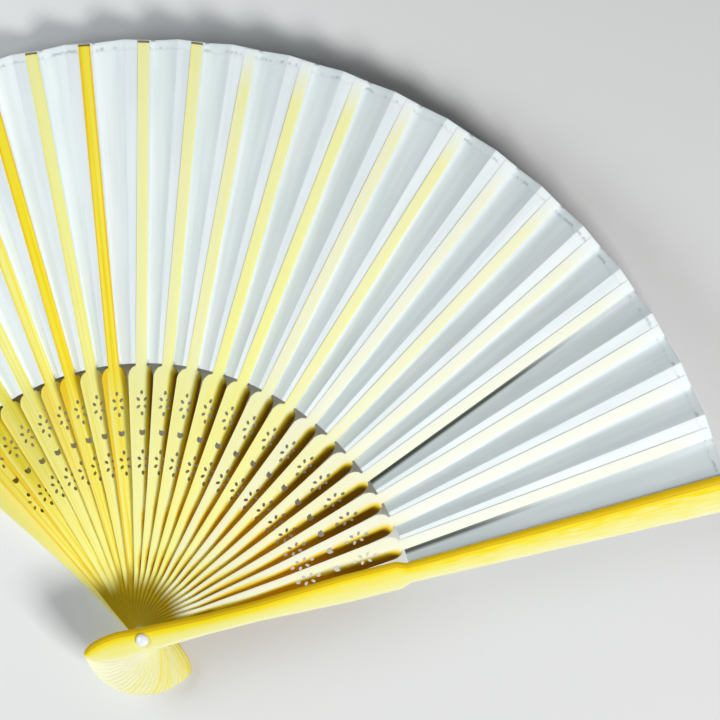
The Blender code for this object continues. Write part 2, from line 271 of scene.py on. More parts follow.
# %% Wrap the trees that make meshes
class Recipe(Tree):
    """A Geometry Nodes tree with named inputs, which makes plain meshes."""

    def __init__(self, name, **inputs):
        super().__init__(bpy.data.node_groups.new(name, "GeometryNodeTree"))
        sockets = self.tree.interface
        sockets.new_socket("Geometry", in_out="OUTPUT", socket_type="NodeSocketGeometry")
        sockets.new_socket("Geometry", in_out="INPUT", socket_type="NodeSocketGeometry")
        kinds = {float: "Float", int: "Int", tuple: "Vector", type(None): "Material"}
        self.sockets = {}
        for label, value in inputs.items():
            kind = f"NodeSocket{kinds[type(value)]}"
            self.sockets[label] = sockets.new_socket(label, in_out="INPUT", socket_type=kind)
            if value is not None:
                self.sockets[label].default_value = value
        self.way_in = self.tree.nodes.new("NodeGroupInput")

    def take(self, label):
        return Socket(self, self.way_in.outputs[label])

    def change(self, kind, geometry, **values):
        """Adds a node that takes one geometry and gives it back changed."""
        return self.node(f"GeometryNode{kind}", inputs={"Geometry": geometry, **values})

    def store(self, geometry, name, value, kind="FLOAT_VECTOR"):
        """Keeps a value at each point, under a name that a material can read."""
        settings = {"data_type": kind, "domain": "POINT"}
        inputs = {"Geometry": geometry, "Name": name, "Value": value}
        return self.node("GeometryNodeStoreNamedAttribute", settings, inputs)

    def end(self, geometry):
        """Every recipe ends alike: real geometry instead of instances, and one material."""
        real = self.change("RealizeInstances", geometry)
        painted = self.change("SetMaterial", real, Material=self.take("Material"))
        way_out = self.tree.nodes.new("NodeGroupOutput")
        self.tree.links.new(painted.output, way_out.inputs[0])

    def make(self, name, mesh=None, **values):
        """Runs the recipe on a mesh, or on nothing, and gives a plain mesh."""
        carrier = bpy.data.objects.new(name, mesh or bpy.data.meshes.new(name))
        bpy.context.scene.collection.objects.link(carrier)
        modifier = carrier.modifiers.new(name, "NODES")
        modifier.node_group = self.tree
        for label, value in values.items():
            modifier[self.sockets[label].identifier] = value
        evaluated = carrier.evaluated_get(bpy.context.evaluated_depsgraph_get())
        made = bpy.data.meshes.new_from_object(evaluated)
        made.name = name
        bpy.data.objects.remove(carrier)
        return made


print("wrapped:", ", ".join(wrapper.__name__ for wrapper in (Socket, Tree, Recipe)))

# %% [markdown]
# ## The camera, the floor and the light
# The fan was photographed from straight above, from about 0.9 m, with the picture's middle a little to
# the right of the ribs. A soft lamp stands at the lower right. It throws each blade's shadow onto its left
# neighbour, and lights every other face of the pleats. A weaker one stands close to the left side. It is
# so near that its light halves across the fan, and it lifts the faces that the first lamp misses.

# %% Set the camera
CAMERA_PLACE = Vector((69.76, 89.92, 927.0)) * MM
PICTURE_WIDTH = 230.4 * MM  # at the height of the front guard
SENSOR = 36.0

camera_data = bpy.data.cameras.new("camera")
camera_data.sensor_width = SENSOR
camera_data.lens = SENSOR * (CAMERA_PLACE.z - cad_box[1][2]) / PICTURE_WIDTH
camera = bpy.data.objects.new("camera", camera_data)
camera.location = CAMERA_PLACE
bpy.context.scene.collection.objects.link(camera)
bpy.context.scene.camera = camera
bpy.context.scene.view_settings.view_transform = "Standard"
print("lens, mm:", round(camera_data.lens, 1))

# %% Lay the floor
FLOOR_SIZE = 6.0
FLOOR_COLOUR = (0.78, 0.78, 0.77, 1.0)
FLOOR_ROUGHNESS = 0.9


def new_shader(name):
    made = bpy.data.materials.new(name)
    made.use_nodes = True
    return made, Tree(made.node_tree), made.node_tree.nodes["Principled BSDF"]


bpy.ops.mesh.primitive_plane_add(size=FLOOR_SIZE, location=(0.0, 0.0, cad_box[0][2]))
floor = bpy.context.object
floor.name = "floor"
floor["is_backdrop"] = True
floor_paint, unused, floor_shader = new_shader("pale_floor")
floor_shader.inputs["Base Color"].default_value = FLOOR_COLOUR
floor_shader.inputs["Roughness"].default_value = FLOOR_ROUGHNESS
floor.data.materials.append(floor_paint)
print("floor, m:", FLOOR_SIZE, "wide, at", round(floor.location.z, 5))

# %% Set the lamps and the sky
FAN_MIDDLE = Vector((70.0, 90.0, 15.0)) * MM
LEFT_PLEATS = Vector((0.0, 150.0, 15.0)) * MM
KEY_LEVEL = 0.81  # how bright white looks where it faces this lamp alone
LEFT_LEVEL = 0.63
LEFT_COLOUR = (0.89, 0.95, 1.0)
SKY_LEVEL = 0.10


def softbox(name, target, level, azimuth_deg, height_deg, distance, size, colour=(1.0, 1.0, 1.0)):
    """An area lamp that lights white to the given level at its target."""
    data = bpy.data.lights.new(name, "AREA")
    data.size = size
    data.color = colour
    data.energy = level * math.pi**2 * distance**2
    azimuth, height = math.radians(azimuth_deg), math.radians(height_deg)
    level_part = Vector((math.cos(azimuth), math.sin(azimuth), 0.0)) * math.cos(height)
    away = level_part + Vector((0.0, 0.0, math.sin(height)))
    lamp = bpy.data.objects.new(name, data)
    lamp.location = target + away * distance
    lamp.rotation_euler = away.to_track_quat("Z", "Y").to_euler()
    lamp.visible_camera = False
    bpy.context.scene.collection.objects.link(lamp)
    print(name, "stands at, mm:", [round(value / MM) for value in lamp.location])


key_stand = {"azimuth_deg": -50.0, "height_deg": 45.0, "distance": 1.1, "size": 0.34}
softbox("key_lamp", FAN_MIDDLE, KEY_LEVEL, **key_stand)
left_stand = {"azimuth_deg": 185.0, "height_deg": 45.0, "distance": 0.42, "size": 0.26}
softbox("left_lamp", LEFT_PLEATS, LEFT_LEVEL, **left_stand, colour=LEFT_COLOUR)

world = bpy.data.worlds.new("studio")
world.use_nodes = True
sky = Tree(world.node_tree)
ray = sky.node("ShaderNodeLightPath").output.node.outputs
seen = sky.math("MAXIMUM", Socket(sky, ray["Is Camera Ray"]), Socket(sky, ray["Is Glossy Ray"]))
seen = sky.math("MAXIMUM", seen, Socket(sky, ray["Is Transmission Ray"]))
background = world.node_tree.nodes["Background"]
sky.tree.links.new((SKY_LEVEL + (1.0 - SKY_LEVEL) * seen).output, background.inputs["Strength"])
background.inputs["Color"].default_value = (1.0, 1.0, 1.0, 1.0)
bpy.context.scene.world = world
print("sky, as a share of white:", SKY_LEVEL)

# %% [markdown]
# ## Bamboo
# Split bamboo is straw yellow with fine darker fibres that run the whole length of a stick, and it is
# denser and deeper in colour towards the stem's skin. The fibres have to follow each stick and not the
# world, so every stick carries attributes: `grain`, a place measured along, across and through it, and
# `tone`, its own shade. On a rib one more value marks its right edge, where a painted shadow stands in
# for the shadow of the next rib, and another a thin painted shadow line along the left edge of a slip.
# `veil` marks the tip that shows through the silk, and `green` an olive tinge on the right half of a
# few ribs. The slips are paler than the blades, nearly white on the right, and the wood is darker just
# in front of the rivet. A place where one colour gives way to another is a pair of numbers: where the
# change starts and where it ends.

# %% Name the bamboo's colours
TONE_STOPS = [
    (0.0, (0.87, 0.87, 0.68)),
    (0.25, (0.89, 0.88, 0.50)),
    (0.5, (0.93, 0.91, 0.33)),
    (0.75, (0.95, 0.83, 0.10)),
    (1.0, (0.95, 0.74, 0.008)),
]
VEIN = (0.90, 0.56, 0.01, 1.0)
# The three edge colours are painted shadow, on a rib's right edge where the next rib's shadow falls.
GOLD_EDGE = (0.82, 0.62, 0.02, 1.0)
EMBER_EDGE = (0.66, 0.27, 0.003, 1.0)
BROWN_EDGE = (0.25, 0.10, 0.001, 1.0)
OLIVE_TINGE = (0.66, 0.57, 0.03, 1.0)
DARK_ROOT = (0.40, 0.27, 0.001, 1.0)
BLEACHED = (0.89, 0.91, 0.84, 1.0)
TAIL = (0.90, 0.89, 0.64, 1.0)
# a painted shadow at the tip of a slip
TIP_SHADOW = (0.12, 0.07, 0.01, 1.0)
# a painted shadow line along a slip's left edge
EDGE_SHADOW = (0.30, 0.26, 0.14, 1.0)
SILK = (0.87, 0.93, 0.94, 1.0)
print("tones from", TONE_STOPS[0][1], "to", TONE_STOPS[-1][1])

# %% Name where the colours change
SLIP_PALES = (72.0 * MM, NECK_PLACE + 6.0 * MM)
SLIP_BLEACHES = (NECK_PLACE - 3.0 * MM, NECK_PLACE + 9.0 * MM)
BLEACH_ACROSS = 110.0  # a slip is more bleached on its left, by this much for each metre
SIDE_BANDS = (2.2 * MM, 3.7 * MM)  # from a rib's middle
BANDS_START = (-3.0 * MM, 12.0 * MM)
VEINS_START = (-4.0 * MM, 12.0 * MM)
EMBER_TURNS_BROWN = (48.0 * MM, 76.0 * MM)
ROOT_BROWN_ENDS = (14.0 * MM, 40.0 * MM)
DARK_ROOT_REACH = 18.5 * MM
DARK_ROOT_SPREAD = 8.0 * MM
DARK_ROOT_STARTS = (-3.0 * MM, 3.0 * MM)
TAIL_PALES = (0.0, 5.0 * MM)  # behind the rivet
TIP_DARKENS = (RIB_REACH - 0.8 * MM, RIB_REACH - 0.4 * MM)
print("the slips pale beyond, mm:", round(SLIP_PALES[0] / MM, 1))


# %% Write what both kinds of bamboo share
FIBRES_A_METRE = (45.0, 3600.0)  # along and across a stick
FIBRES_THROUGH = 900.0
STREAKS_A_METRE = (12.0, 1100.0)
FIBRE_BUMP = 0.1 * MM


def attribute(tree, name, output="Fac"):
    return tree.node("ShaderNodeAttribute", {"attribute_name": name}, output=output)


def connect(tree, shader, values):
    for name, value in values.items():
        tree.tree.links.new(value.output, shader.inputs[name])


def grain_of(tree, tone):
    """Fine fibres and broader streaks, both stretched along the stick."""
    along, across, through = tree.parts(attribute(tree, "grain", "Vector"))
    fibres = tree.lines(along, across, FIBRES_A_METRE, tone * 37.0 + through * FIBRES_THROUGH, 3.0)
    streaks = tree.lines(along, across, STREAKS_A_METRE, tone * 91.0)
    return along, across, fibres, streaks


def finish_bamboo(tree, shader, colour, fibres):
    shader.inputs["Specular IOR Level"].default_value = 0.12
    looks = {"Base Color": colour, "Roughness": 0.4 + fibres * 0.24}
    connect(tree, shader, {**looks, "Normal": tree.bump(0.2, FIBRE_BUMP, fibres)})


print("fibres, mm across:", round(1.0 / FIBRES_A_METRE[1] / MM, 2))


# %% Mix the ribs' bamboo
def rib_bamboo():
    made, tree, shader = new_shader("rib_bamboo")
    tone = attribute(tree, "tone")
    along, across, fibres, streaks = grain_of(tree, tone)
    mix, smooth = tree.mix_colours, tree.smooth

    # The blade is less deep in colour than the slip, and pale canes have bleached slips.
    on_slip = smooth(along, *SLIP_PALES)
    deep = tree.math("MAXIMUM", tone - 0.5, 0.0) * (1.0 - on_slip)
    shade = tone - deep * 0.62 - on_slip * 0.09 + (streaks - 0.5) * 0.6 + (fibres - 0.5) * 0.2
    colour = tree.node("ShaderNodeValToRGB", {"stops": TONE_STOPS}, {0: shade})
    bleached = tree.math("MAXIMUM", 0.65 - tone * 1.5 + across * BLEACH_ACROSS, 0.0)
    colour = mix(bleached * smooth(along, *SLIP_BLEACHES), colour, BLEACHED)

    # Orange veins run in the yellow canes, and more of them beside the edges.
    from_middle = tree.math("ABSOLUTE", across) * (1.0 + on_slip)
    edges = smooth(from_middle, *SIDE_BANDS) * smooth(along, *BANDS_START)
    veins = smooth(streaks + edges * 0.3, 0.5, 0.72) * smooth(tone, 0.5, 1.0)
    colour = mix(veins * smooth(along, *VEINS_START) * 0.8, colour, VEIN)
    # An olive tinge lies on the right half of a few ribs.
    colour = mix(attribute(tree, "green") * (0.9 + (streaks - 0.5) * 1.6), colour, OLIVE_TINGE)

    # The right edge, where the next rib's shadow falls, is painted shadow: gold, then ember red, and brown
    # at both ends.
    skin = attribute(tree, "skin") * (1.0 + (streaks - 0.5) * 0.2)
    colour = mix(smooth(skin, 0.0, 0.5), colour, GOLD_EDGE)
    shadow_colour = mix(smooth(along, *EMBER_TURNS_BROWN), EMBER_EDGE, BROWN_EDGE)
    near_rivet = 1.0 - smooth(along, *ROOT_BROWN_ENDS)
    shadow_colour = mix(near_rivet * 0.8, shadow_colour, BROWN_EDGE)
    colour = mix(smooth(skin, 0.4, 0.95), colour, shadow_colour)

    # The wood is darker in front of the rivet, and worn pale behind.
    from_dark = tone * DARK_ROOT_SPREAD + DARK_ROOT_REACH - along
    dark_root = smooth(from_dark, 0.0, DARK_ROOT_SPREAD) * smooth(along, *DARK_ROOT_STARTS)
    colour = mix(dark_root, colour, DARK_ROOT)
    pale = tree.math("MAXIMUM", 1.0 - tone * 0.75, 0.3)
    worn = smooth(along * -1.0, *TAIL_PALES) * pale * (1.05 - streaks * 0.3)
    colour = mix(worn, colour, TAIL)

    # Last come a painted shadow line along the slip's left edge, a painted shadow at the slip's tip, and
    # the silk that veils it.
    colour = mix(attribute(tree, "glue"), colour, EDGE_SHADOW)
    colour = mix(smooth(along, *TIP_DARKENS) * 0.9, colour, TIP_SHADOW)
    colour = mix(attribute(tree, "veil"), colour, SILK)
    finish_bamboo(tree, shader, colour, fibres)
    return made


rib_finish = rib_bamboo()
print("rib bamboo:", len(rib_finish.node_tree.nodes), "nodes")

# %% [markdown]
# ## The guards' bamboo
# The guards are split from thicker cane, so their section goes from the pale inner wood at one edge to
# the dense yellow wood under the skin at the other. The value stored across a guard is this depth in the
# cane, and it also paints light: the pale edge is partly a painted highlight, and the slanted band's deeper
# gold partly painted shade. Short bright dashes of grain show beyond the shoulder, and the cut band at the
# left edge is clean.

# %% Mix the guards' bamboo
# From the pale edge, partly a painted highlight, to the slanted band, whose deeper gold is partly painted
# shade.
CANE_STOPS = [
    (0.0, (0.88, 0.86, 0.50)),
    (0.16, (0.88, 0.84, 0.32)),
    (0.36, (0.89, 0.80, 0.17)),
    (0.48, (0.90, 0.75, 0.015)),
    (0.60, (0.88, 0.65, 0.005)),
    (0.66, (0.66, 0.40, 0.003)),
    (0.71, (0.84, 0.58, 0.004)),
    (0.84, (0.73, 0.48, 0.005)),
    (1.0, (0.58, 0.37, 0.005)),
]
DASHES_A_METRE = (110.0, 1500.0)
DASHES_GROW = (BLADE_END, NECK_PLACE + 20.0 * MM)
FACE_SKIN = 0.56  # the values across the guard where the face ends and where the band starts
BAND_SKIN = 0.64


def guard_bamboo():
    made, tree, shader = new_shader("guard_bamboo")
    along, across, fibres, streaks = grain_of(tree, attribute(tree, "tone"))
    dashes = tree.lines(along, across, DASHES_A_METRE, 5.0)
    dash_level = 0.15 + tree.smooth(along, *DASHES_GROW) * 0.5
    wander = (streaks - 0.5) * 0.16 + (fibres - 0.5) * 0.06 + (dashes - 0.5) * dash_level
    skin = attribute(tree, "skin")
    on_band = tree.smooth(skin, FACE_SKIN, BAND_SKIN)
    face = tree.math("MINIMUM", skin + wander, FACE_SKIN)
    depth = face * (1.0 - on_band) + (skin + wander * 0.2) * on_band
    colour = tree.node("ShaderNodeValToRGB", {"stops": CANE_STOPS}, {0: depth})
    finish_bamboo(tree, shader, colour, fibres)
    return made


guard_finish = guard_bamboo()
print("guard bamboo:", len(guard_finish.node_tree.nodes), "nodes")

# %% [markdown]
# ## Silk
# The leaf is a thin plain-woven silk, stiffened a little with size. From a step away the weave is only a
# faint grain and a soft sheen, and the cloth has shallow streaks along its folds. `cloth` is a place
# measured along and across a pleat and in from the rim. The hem is two layers thick, so it lets less
# of the dark through, and its inner edge puckers, with painted shade in the puckers. Two valleys get a
# painted shadow where the silk leaves the slip.

# %% Mix the silk
SILK_SHADE = (0.77, 0.84, 0.85, 1.0)
SILK_HEM = (0.88, 0.94, 0.95, 1.0)
# painted shade in the puckers at the hem's inner edge
PUCKER_SHADE = (0.50, 0.55, 0.56, 1.0)
# painted shadow in two valleys, where the silk leaves the slip
VALLEY_SHADOW = (0.018, 0.028, 0.014, 1.0)
THREAD = 0.16 * MM
STREAKS_IN_SILK = (9.0, 420.0)  # a metre, along and across a pleat
BROAD_STREAKS = (24.0, 130.0)
GATHERS = (200.0, 330.0)  # from the rim and across
HEM_WIDTH = 2.9 * MM
HEM_BLUR = 0.9 * MM
HEM_WANDER = 3.0 * MM
CLOTH_BUMP = 0.03 * MM


def silk():
    made, tree, shader = new_shader("silk")
    along, across, from_rim = tree.parts(attribute(tree, "cloth", "Vector"))
    mix, smooth = tree.mix_colours, tree.smooth
    warp = tree.math("SINE", along * (2.0 * math.pi / THREAD))
    weft = tree.math("SINE", across * (2.0 * math.pi / THREAD))
    seed = attribute(tree, "seed")
    streaks = tree.lines(along, across, STREAKS_IN_SILK, seed * 5.0)
    broad = tree.lines(along, across, BROAD_STREAKS, seed * 9.0)
    colour = mix(smooth(streaks * 0.35 + broad * 0.65, 0.36, 0.66), SILK, SILK_SHADE)

    # The hem's inner edge wanders, and painted shade along it is darkest where the cloth is gathered.
    gathers = tree.lines(from_rim, across, GATHERS, seed * 13.0, 1.0)
    edge = from_rim + (gathers - 0.5) * HEM_WANDER
    hem = 1.0 - smooth(edge, HEM_WIDTH - HEM_BLUR, HEM_WIDTH + HEM_BLUR)
    colour = mix(hem * 0.45, colour, SILK_HEM)
    line = smooth(tree.math("ABSOLUTE", edge - HEM_WIDTH) * -1.0, -HEM_BLUR, 0.0)
    colour = mix(line * (0.14 + smooth(gathers, 0.5, 0.66) * 0.7), colour, PUCKER_SHADE)
    # Painted shadow in two valleys, where the silk leaves the slip.
    colour = mix(attribute(tree, "stain"), colour, VALLEY_SHADOW)
    shader.inputs["Roughness"].default_value = 0.62
    shader.inputs["Sheen Weight"].default_value = 0.15
    shader.inputs["Specular IOR Level"].default_value = 0.3
    height = warp * weft * 0.4 + streaks * 3.0 + broad * 3.0 + line * gathers * 4.0
    connect(tree, shader, {"Base Color": colour, "Normal": tree.bump(0.3, CLOTH_BUMP, height)})
    return made


silk_finish = silk()
print("silk:", len(silk_finish.node_tree.nodes), "nodes")

# %% [markdown]
# ## Pearl
# The rivet's head and the cap behind are turned from a pearly plastic: white, polished, with faint clouds
# of pink and green under the gloss.

# %% Mix the pearl
PEARL_STOPS = [(0.3, (0.80, 0.84, 0.84)), (0.5, (0.90, 0.89, 0.90)), (0.7, (0.88, 0.83, 0.86))]
CLOUDS_A_METRE = 600.0


def pearl():
    made, tree, shader = new_shader("pearl")
    place = tree.node("ShaderNodeTexCoord", output="Object")
    scaled = tree.node("ShaderNodeVectorMath", {"operation": "SCALE"}, {0: place, "Scale": CLOUDS_A_METRE})
    clouds = tree.noise(scaled, 3.0)
    colour = tree.node("ShaderNodeValToRGB", {"stops": PEARL_STOPS}, {0: clouds})
    shader.inputs["Coat Weight"].default_value = 0.5
    connect(tree, shader, {"Base Color": colour, "Roughness": 0.16 + clouds * 0.12})
    return made


pearl_finish = pearl()
print("pearl:", len(pearl_finish.node_tree.nodes), "nodes")

# %% [markdown]
# ## The blank of a stick
# Ribs and guards are all bars whose section changes along their length, so one function joins a row of
# sections into a closed skin. A rib's section has a gently crowned face and soft edges, as left by
# scraping, and its blade reaches a little further on its left, over its neighbour. The holes come later.

# %% Join sections into a bar
def mesh_of(bm, name):
    """Ends a bmesh: its faces are turned outwards, and it becomes a plain mesh."""
    bmesh.ops.recalc_face_normals(bm, faces=bm.faces)
    mesh = bpy.data.meshes.new(name)
    bm.to_mesh(mesh)
    bm.free()
    return mesh


def bar_from_sections(name, sections):
    """sections is a row of closed outlines with as many points each, from one end to the other."""
    bm = bmesh.new()
    rings = [[bm.verts.new(point) for point in section] for section in sections]
    for near, far in zip(rings, rings[1:]):
        for n in range(len(near)):
            m = (n + 1) % len(near)
            bm.faces.new((near[n], near[m], far[m], far[n]))
    bm.faces.new(reversed(rings[0]))
    bm.faces.new(rings[-1])
    return mesh_of(bm, name)


# %% Place the sections of a rib
TAIL_CENTRE = TAIL_ROUND - TAIL_REACH
ROOT_OUTLINE = [(TAIL_CENTRE, TAIL_WIDTH / 2), (0.0, PIVOT_WIDTH / 2)]
RIB_OUTLINE = ROOT_OUTLINE + [
    (WAIST_START, WAIST_WIDTH / 2),
    (WAIST_END, WAIST_WIDTH / 2),
    (BLADE_END, BLADE_WIDTH / 2),
]
SLIP_OUTLINE = [(NECK_PLACE, NECK_WIDTH / 2), (RIB_REACH, SLIP_END_WIDTH / 2)]
TAIL_STEPS = 14
FIRST_STEP_SHARE = 0.35  # the tail's tip is closed by a small flat
ROOT_STEPS = 4
WAIST_STEPS = 12
BLADE_STEPS = 8
SHOULDER_STEPS = 6
SLIP_STEPS = 8


def steps(start, end, count):
    return [start + (end - start) * n / count for n in range(count)]


BLADE_PLACES = [
    *steps(TAIL_CENTRE, WAIST_START, ROOT_STEPS),
    *steps(WAIST_START, WAIST_END, WAIST_STEPS),
    *steps(WAIST_END, BLADE_END, BLADE_STEPS),
]


def stations_at(places, outline):
    """(place, half width) pairs: they say where a bar's sections are, and how wide."""
    return [(x, between(x, outline)) for x in places]


def tail_stations():
    turns = [math.pi / 2 * (n + FIRST_STEP_SHARE) / TAIL_STEPS for n in range(TAIL_STEPS)]
    return [(TAIL_CENTRE - TAIL_ROUND * math.cos(a), TAIL_WIDTH / 2 * math.sin(a)) for a in turns]


def rib_stations():
    stations = tail_stations() + stations_at(BLADE_PLACES, RIB_OUTLINE)
    rise = (BLADE_WIDTH - NECK_WIDTH) / 2
    for n in range(SHOULDER_STEPS):
        a = math.pi / 2 * n / SHOULDER_STEPS
        x = BLADE_END + (NECK_PLACE - BLADE_END) * math.sin(a)
        stations.append((x, NECK_WIDTH / 2 + rise * math.cos(a)))
    return stations + stations_at(steps(NECK_PLACE, RIB_REACH, SLIP_STEPS) + [RIB_REACH], SLIP_OUTLINE)


print("sections of a rib:", len(rib_stations()))

# %% Make the blank
ROOT_THICKNESS = 0.9 * MM  # round the rivet, where the sticks nearly fill the stack
ROOT_END = 14.0 * MM
ROOT_SLOPE_END = WAIST_START + 6.0 * MM
EDGE_DROP = 0.12 * MM
EDGE_REACH = 0.45 * MM
TAIL_DROP_SHARE = 0.4
LEFT_SPARE = 0.45 * MM  # a blade reaches a little further over its left neighbour
SPARE_START = 4.0 * MM
SPARE_TABLE = [(SPARE_START, 0.0), (ROOT_END, LEFT_SPARE), (BLADE_END, LEFT_SPARE), (NECK_PLACE, 0.0)]
ACROSS_SHARES = (1.0, 0.955, 0.88, 0.78, 0.4, 0.0, -0.4, -0.78, -0.88, -0.955, -1.0)


def rib_top(x, half, y):
    """A rib's face is flat in the middle, and its edges are scraped round."""
    root = 1.0 - min(1.0, max(0.0, (x - ROOT_END) / (ROOT_SLOPE_END - ROOT_END)))
    inside = min(1.0, (half - abs(y)) / EDGE_REACH)
    drop = EDGE_DROP * (TAIL_DROP_SHARE if x < 0.0 else 1.0)
    return RIB_THICKNESS + (ROOT_THICKNESS - RIB_THICKNESS) * root - drop * (1.0 - inside) ** 2


def rib_section(x, half):
    """The outline across a rib, from its left edge over its face and back along its flat underside."""
    floor_level = LEAF_RECESS * min(1.0, max(0.0, (x - NECK_PLACE) / (LEAF_INNER_RADIUS - NECK_PLACE)))
    left = half + between(x, SPARE_TABLE)
    sides = [(share, left if share > 0.0 else half) for share in ACROSS_SHARES]
    face = [(x, share * side, rib_top(x, side, share * side)) for share, side in sides]
    return face + [(x, -half, floor_level), (x, left, floor_level)]


rib_blank = bar_from_sections("rib_blank", [rib_section(x, half) for x, half in rib_stations()])
print("rib blank:", len(rib_blank.polygons), "faces")

# %% [markdown]
# ## Piercing the ribs
# The ornament is punched through every blade alike: six petals, a cup, and six petals again. Geometry
# Nodes suit this well. One petal is set on six points whose places follow a formula, the flower is used
# twice, and one Boolean takes all the punches out. The same recipe stores `grain` and the marks of the
# colours while the rib is still flat, and leans it afterwards, so that they follow the twist.

# %% Shape the punches
HORN_SHARE = 0.92  # the cup's horns stand at this share of half its width


def flower_punch(recipe, punch):
    """A petal stands on each of six points, and points away from their middle."""
    take, node, math_of = recipe.take, recipe.node, recipe.math
    petal_size = recipe.vector(take("Petal Length") / 2.0, take("Petal Width") / 2.0, 1.0)
    petal = recipe.change("Transform", punch, Scale=petal_size)
    turn = node("GeometryNodeInputIndex") * (math.pi / 3.0)
    cosine = math_of("COSINE", turn)
    crowded = math_of("ABSOLUTE", cosine) ** take("Crowding")
    along = math_of("SIGN", cosine) * crowded * take("Flower Reach")
    across = math_of("SINE", turn) * take("Flower Spread")
    petal_turn = recipe.vector(0.0, 0.0, math_of("ARCTAN2", across, along))
    flower = {
        "Points": node("GeometryNodePoints", inputs={"Count": 6, "Position": recipe.vector(along, across)}),
        "Instance": petal,
        "Rotation": node("FunctionNodeEulerToRotation", inputs={0: petal_turn}),
    }
    return node("GeometryNodeInstanceOnPoints", inputs=flower)


def cup_punch(recipe, punch):
    """A round punch whose far side is drawn out into two horns."""
    take, math_of = recipe.take, recipe.math
    x, y, z = recipe.parts(recipe.node("GeometryNodeInputPosition"))
    swing = math_of("ABSOLUTE", math_of("ARCTAN2", y, x)) * (4.0 / math.pi)
    horn = math_of("MINIMUM", 2.0 - swing, 1.0 - take("Notch") * (1.0 - swing))
    outside = swing * (1.0 - HORN_SHARE) + (2.0 * HORN_SHARE - 1.0)
    side = math_of("SIGN", y) * math_of("MINIMUM", swing * HORN_SHARE, outside)
    is_round = math_of("LESS_THAN", x, 0.0)
    is_cup = 1.0 - is_round
    shape = recipe.vector(is_round * x + is_cup * horn, is_round * y + is_cup * side, z)
    half_cup = take("Cup Size") / 2.0
    place = {"Scale": recipe.vector(half_cup, half_cup, 1.0), "Translation": recipe.vector(take("Cup"))}
    return recipe.change("Transform", recipe.change("SetPosition", punch, Position=shape), **place)


print("punches:", ", ".join(shape.__name__ for shape in (flower_punch, cup_punch)))

# %% Mark a rib for its colours
BAND_STARTS = (9.0 * MM, 14.0 * MM)
BAND_FLARES = (25.0 * MM, 45.0 * MM)
BAND_ENDS = (BLADE_END, NECK_PLACE + 1.5 * MM)
BAND_MARGIN = 0.95 * MM
MARGIN_GROWTH = 0.063  # in metres, for each metre beyond the flare
BAND_BLUR = 0.75 * MM
BLUR_GROWTH = 0.06
OLIVE_STARTS = (44.0 * MM, 70.0 * MM)
OLIVE_SIDE = (-4.5 * MM, 0.6 * MM)  # from a rib's middle towards its right edge
OLIVE_ENDS = (NECK_PLACE - 2.0 * MM, NECK_PLACE + 12.0 * MM)
VEIL_STARTS = (187.0 * MM, 191.5 * MM)
EDGE_SHADOW_DEPTH = 0.03 * MM


def rib_marks(recipe, x, y, on_slip):
    """The values that rib_bamboo reads, from a place on the flat rib."""
    take, math_of, smooth, ramp = recipe.take, recipe.math, recipe.smooth, recipe.ramp
    widening = ramp(x, WAIST_END, BLADE_END) * ((BLADE_WIDTH - WAIST_WIDTH) / 2)
    # The painted shadow on the right edge starts at the next rib's left edge, and widens outwards and from
    # rib to rib.
    next_rib = widening + (WAIST_WIDTH / 2 + LEFT_SPARE) - x * take("Gap Sine")
    beyond = math_of("MAXIMUM", x - BAND_FLARES[1], 0.0)
    band = ramp(x, *BAND_FLARES) * take("Shade Widening") + BAND_MARGIN + beyond * MARGIN_GROWTH
    right_edge = smooth((next_rib + band - y) / (beyond * BLUR_GROWTH + BAND_BLUR), 0.0, 1.0)
    on_blade = smooth(x, *BAND_STARTS) * (1.0 - smooth(x, *BAND_ENDS))
    olive_span = smooth(x, *OLIVE_STARTS) * (1.0 - smooth(x, *OLIVE_ENDS))
    half = (take("Slip Start Width") * (1.0 - on_slip) + take("Slip End Width") * on_slip) / 2.0
    # A thin painted shadow line along the slip's left edge.
    left_wall = math_of("GREATER_THAN", y, half - EDGE_SHADOW_DEPTH) * math_of("GREATER_THAN", on_slip, 0.01)
    return {
        "tone": take("Tone"),
        "skin": right_edge * on_blade * take("Shade Strength"),
        "green": olive_span * smooth(-1.0 * y, *OLIVE_SIDE) * take("Green"),
        "veil": smooth(x, *VEIL_STARTS) * take("Veil"),
        "glue": left_wall * take("Edge Shadow"),
    }


print("the dark band runs, mm:", [round(place / MM, 1) for place in (BAND_STARTS[0], BAND_ENDS[1])])

# %% Write the recipe
PUNCH_SIDES = 16
PUNCH_DEPTH = 6.0 * MM


